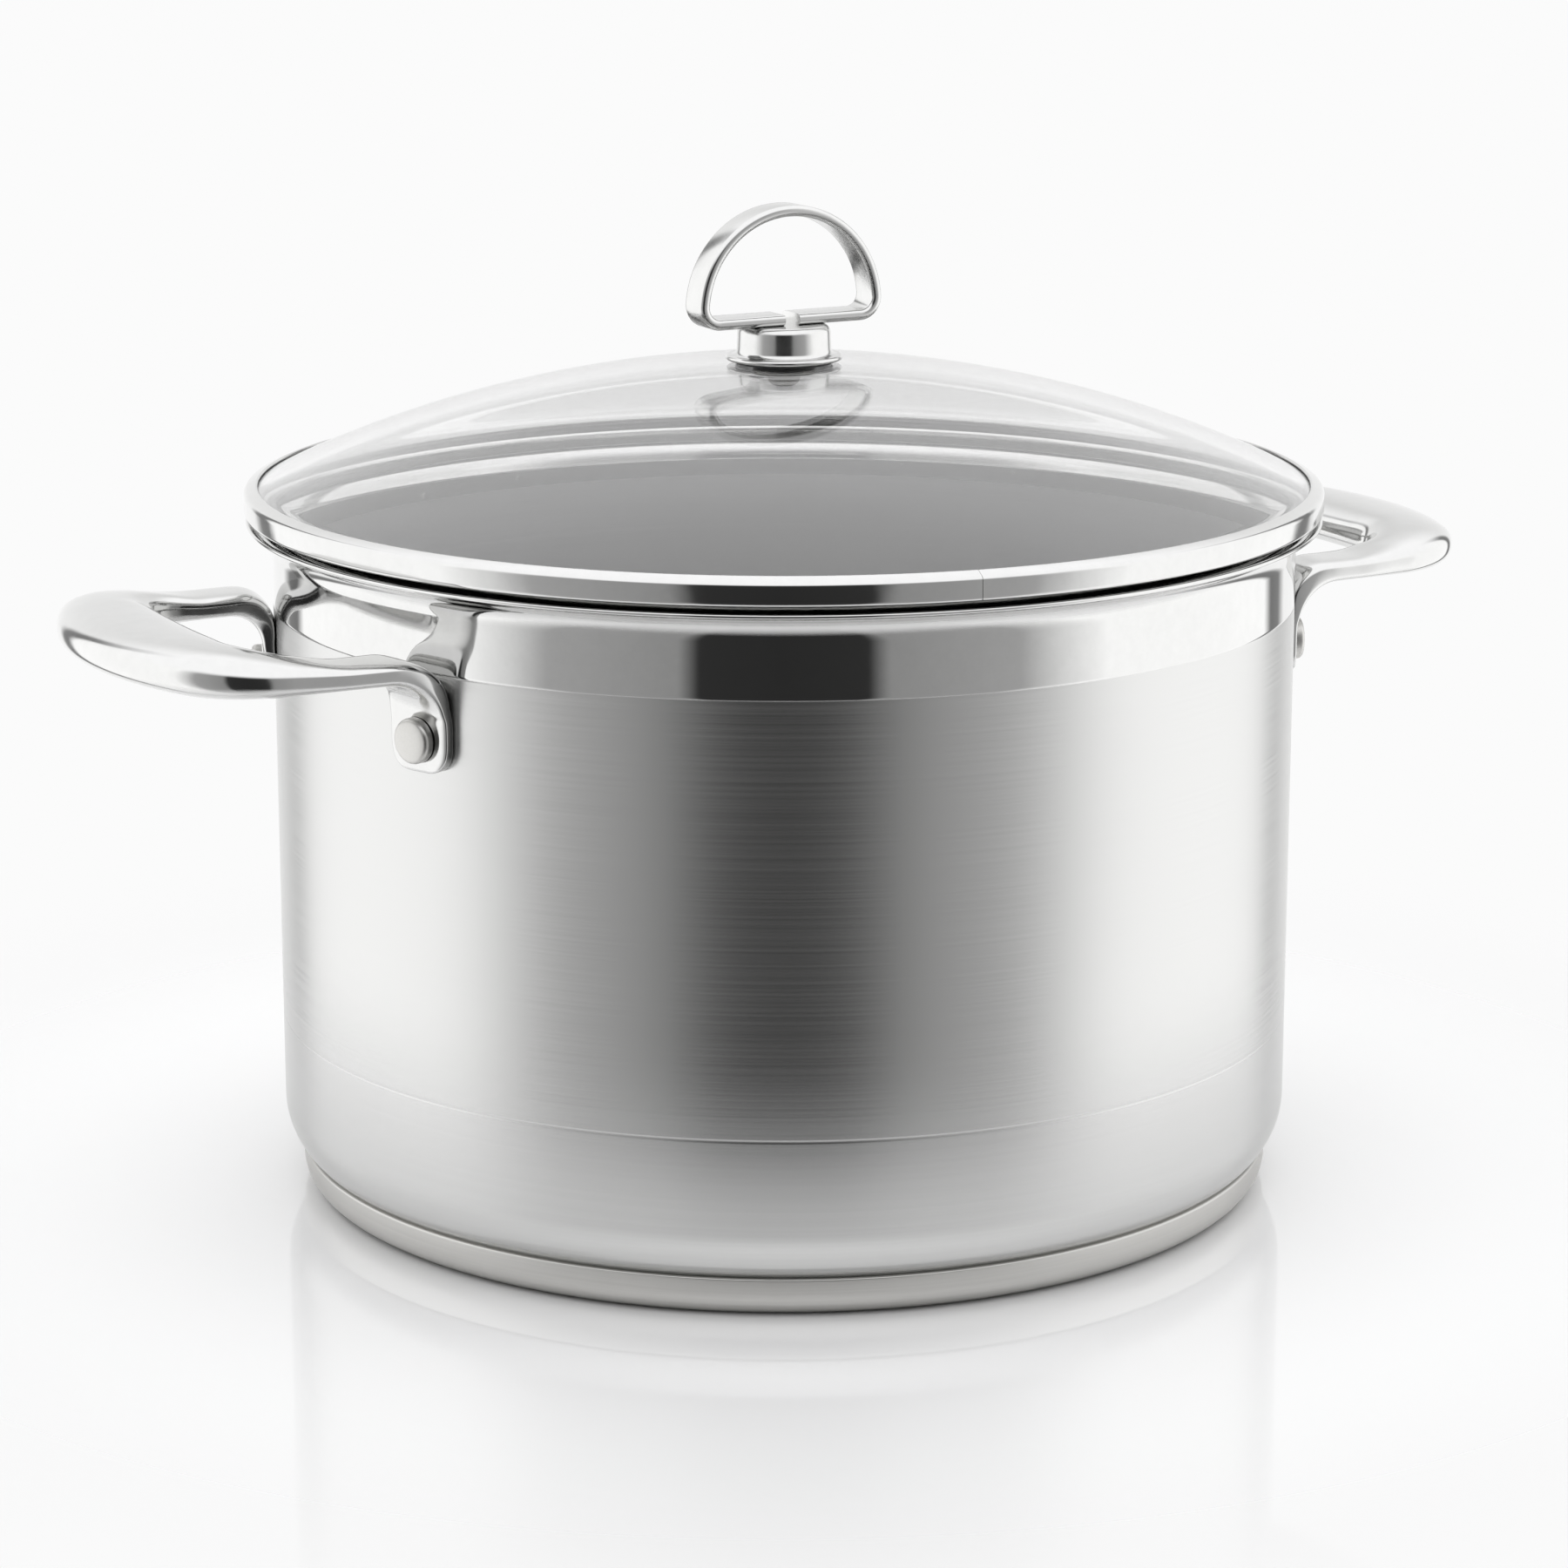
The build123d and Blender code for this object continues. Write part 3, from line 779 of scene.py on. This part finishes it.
def gripSections():
    # in plan the grip's outer side is one wide arc and a tighter one at the corner, tangent to each other
    edgeIn, edgeOut = handle["innerY"], handle["outerY"] - handle["legNarrowing"]
    holeX, holeCorner, corner = tipX - handle["gripWidth"], handle["holeCorner"], handle["gripCorner"]
    start = handle["legStart"]
    sideY = edgeOut - handle["gripNarrowing"]
    run = tipX - handle["gripSide"]
    front = (run**2 + sideY**2) / (2 * run)
    frontX = tipX - front
    cornerY = sideY - corner
    cornerX = frontX + onCircle(front - corner, cornerY)
    meet = math.atan2(cornerY, cornerX - frontX)
    gripMiddle = holeX + handle["gripWidth"] / 2
    sections = []
    for x in handle["legRun"]:
        share = (x - start) / handle["legEase"]
        sections.append(gripSection((x, edgeIn), (x + handle["legSkew"], edgeOut), share))
    for step in range(handle["cornerSteps"] + 1):
        share = step / handle["cornerSteps"]
        turn = math.pi / 2 * share
        inner = (holeX - holeCorner * (1 - math.sin(turn)), edgeIn - holeCorner * (1 - math.cos(turn)))
        swing = (math.pi / 2 - meet) * share
        outer = (cornerX + corner * math.sin(swing), cornerY + corner * math.cos(swing))
        middle = (inner[0] + outer[0]) / 2
        sections.append(gripSection(inner, outer, min(1, (middle - start) / (gripMiddle - start))))
    for step in range(1, handle["frontSteps"] + 1):
        share = step / handle["frontSteps"]
        swing = meet * (1 - share)
        inner = (holeX, (edgeIn - holeCorner) * (1 - share))
        outer = (frontX + front * math.cos(swing), front * math.sin(swing))
        sections.append(gripSection(inner, outer, 1))
    return sections


def mirrored(section):
    *vectors, square = section
    return *(Vector((v.x, -v.y, v.z)) for v in vectors), square


def skinSections(name, sections, sides):
    vertices = []
    for centre, width, depth, square in sections:
        for side in range(sides):
            turn = 2 * math.pi * side / sides
            c, s = math.cos(turn), math.sin(turn)
            u = math.copysign(abs(c) ** (2 / square), c)
            v = math.copysign(abs(s) ** (2 / square), s)
            vertices.append((centre + width * u + depth * v) * mm)
    faces = [list(range(sides)), list(range(len(vertices) - sides, len(vertices)))]
    for low in range(0, len(vertices) - sides, sides):
        for side in range(sides):
            following = (side + 1) % sides
            faces.append([low + side, low + following, low + sides + following, low + sides + side])
    mesh = bpy.data.meshes.new(name)
    mesh.from_pydata(vertices, [], faces)
    piece = bpy.data.objects.new(name, mesh)
    bpy.context.scene.collection.objects.link(piece)
    placePiece(piece, Matrix())
    bpy.ops.object.mode_set(mode="EDIT")
    bpy.ops.mesh.select_all(action="SELECT")
    bpy.ops.mesh.normals_make_consistent(inside=False)
    bpy.ops.object.mode_set(mode="OBJECT")
    smooth = piece.modifiers.new("roundOff", "SUBSURF")
    smooth.levels = handle["smoothing"]
    smooth.render_levels = handle["smoothing"]
    bpy.ops.object.modifier_apply(modifier="roundOff")
    bpy.ops.object.shade_smooth()
    return piece


def makeHandles():
    half = tabSections() + bendSections() + gripSections()
    otherHalf = [mirrored(section) for section in reversed(half[:-1])]
    right = skinSections("handleRightCast", half + otherHalf, handle["sides"])
    giveFinish(right, "cast")
    left = copyPiece(right, "handleLeftCast")
    placePiece(left, Matrix.Rotation(math.pi, 4, "Z"))
    mount(right, "pot", "polished_steel", "handle_right")
    mount(left, "pot", "polished_steel", "handle_left")


# Knob loop: a flat strip with softened edges, bent by spinning its end round each centre

loop = {
    "radius": 24.2, "rise": 28.1, "thickness": 2.6, "width": 9.0, "corner": 4.2, "gap": 3.8, "edge": 1.15,
    "lead": 0.4, "cornerSteps": 24, "archSteps": 72,
}


def makeLoop():
    capTop = top("knob_cap").z / mm
    half = loop["thickness"] / 2
    runZ = capTop + half
    archZ = capTop + loop["rise"] - loop["radius"]
    archRadius = loop["radius"] - half
    cornerZ = runZ + loop["corner"]
    cornerX = math.sqrt((archRadius - loop["corner"]) ** 2 - (cornerZ - archZ) ** 2)
    turn = math.atan2(cornerZ - archZ, cornerX)
    startX, lead = loop["gap"] / 2, loop["lead"]
    bpy.ops.object.select_all(action="DESELECT")
    bpy.ops.mesh.primitive_plane_add(
        size=1, location=(startX * mm, 0, runZ * mm), rotation=(0, math.pi / 2, 0),
    )
    piece = bpy.context.object
    piece.name = "knobLoopStrip"
    piece.data.name = "knobLoopStrip"
    piece.scale = (loop["thickness"] * mm, loop["width"] * mm, 1)
    bpy.ops.object.transform_apply(location=True, rotation=True, scale=True)
    bpy.ops.object.mode_set(mode="EDIT")
    bpy.ops.mesh.select_all(action="SELECT")
    bpy.ops.mesh.bevel(offset=loop["edge"] * mm, segments=6, affect="VERTICES")
    bpy.ops.mesh.select_all(action="SELECT")
    bpy.ops.mesh.extrude_region_move(TRANSFORM_OT_translate={"value": (lead * mm, 0, 0)})
    run = (cornerX - startX - lead) * mm
    bpy.ops.mesh.extrude_region_move(TRANSFORM_OT_translate={"value": (run, 0, 0)})
    bpy.ops.mesh.spin(
        steps=loop["cornerSteps"], angle=math.pi / 2 + turn, center=(cornerX * mm, 0, cornerZ * mm),
        axis=(0, 1, 0),
    )
    bpy.ops.mesh.spin(
        steps=loop["archSteps"], angle=math.pi / 2 - turn, center=(0, 0, archZ * mm), axis=(0, 1, 0),
    )
    bpy.ops.mesh.delete(type="ONLY_FACE")
    bpy.ops.mesh.select_all(action="SELECT")
    bpy.ops.mesh.remove_doubles(threshold=0.000002)
    bpy.ops.object.mode_set(mode="OBJECT")
    mirror = piece.modifiers.new("otherHalf", "MIRROR")
    mirror.merge_threshold = 0.00005
    bpy.ops.object.modifier_apply(modifier="otherHalf")
    bpy.ops.object.mode_set(mode="EDIT")
    bpy.ops.mesh.select_all(action="SELECT")
    bpy.ops.mesh.normals_make_consistent(inside=False)
    bpy.ops.object.mode_set(mode="OBJECT")
    bpy.ops.object.shade_smooth_by_angle(angle=math.radians(40))
    giveFinish(piece, "strip")
    mount(piece, "lid", "polished_steel", "knob_loop")


def dressNodes():
    for node, finish in (
        ("base_core", "aluminium"), ("knob_boss", "satin"), ("knob_gasket_upper", "rubber"),
        ("knob_gasket_lower", "rubber"),
    ):
        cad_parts[node].material_slots[0].material = finishes[finish]


placeCamera()
buildStudio()
layFloor()
print("studio ready")
makePot()
makeBase()
makeRivets()
print("pot turned")
makeDome()
makeBand()
makeKnobCap()
makeFixings()
print("lid turned")
makeHandles()
makeLoop()
dressNodes()
print("handles and knob made")
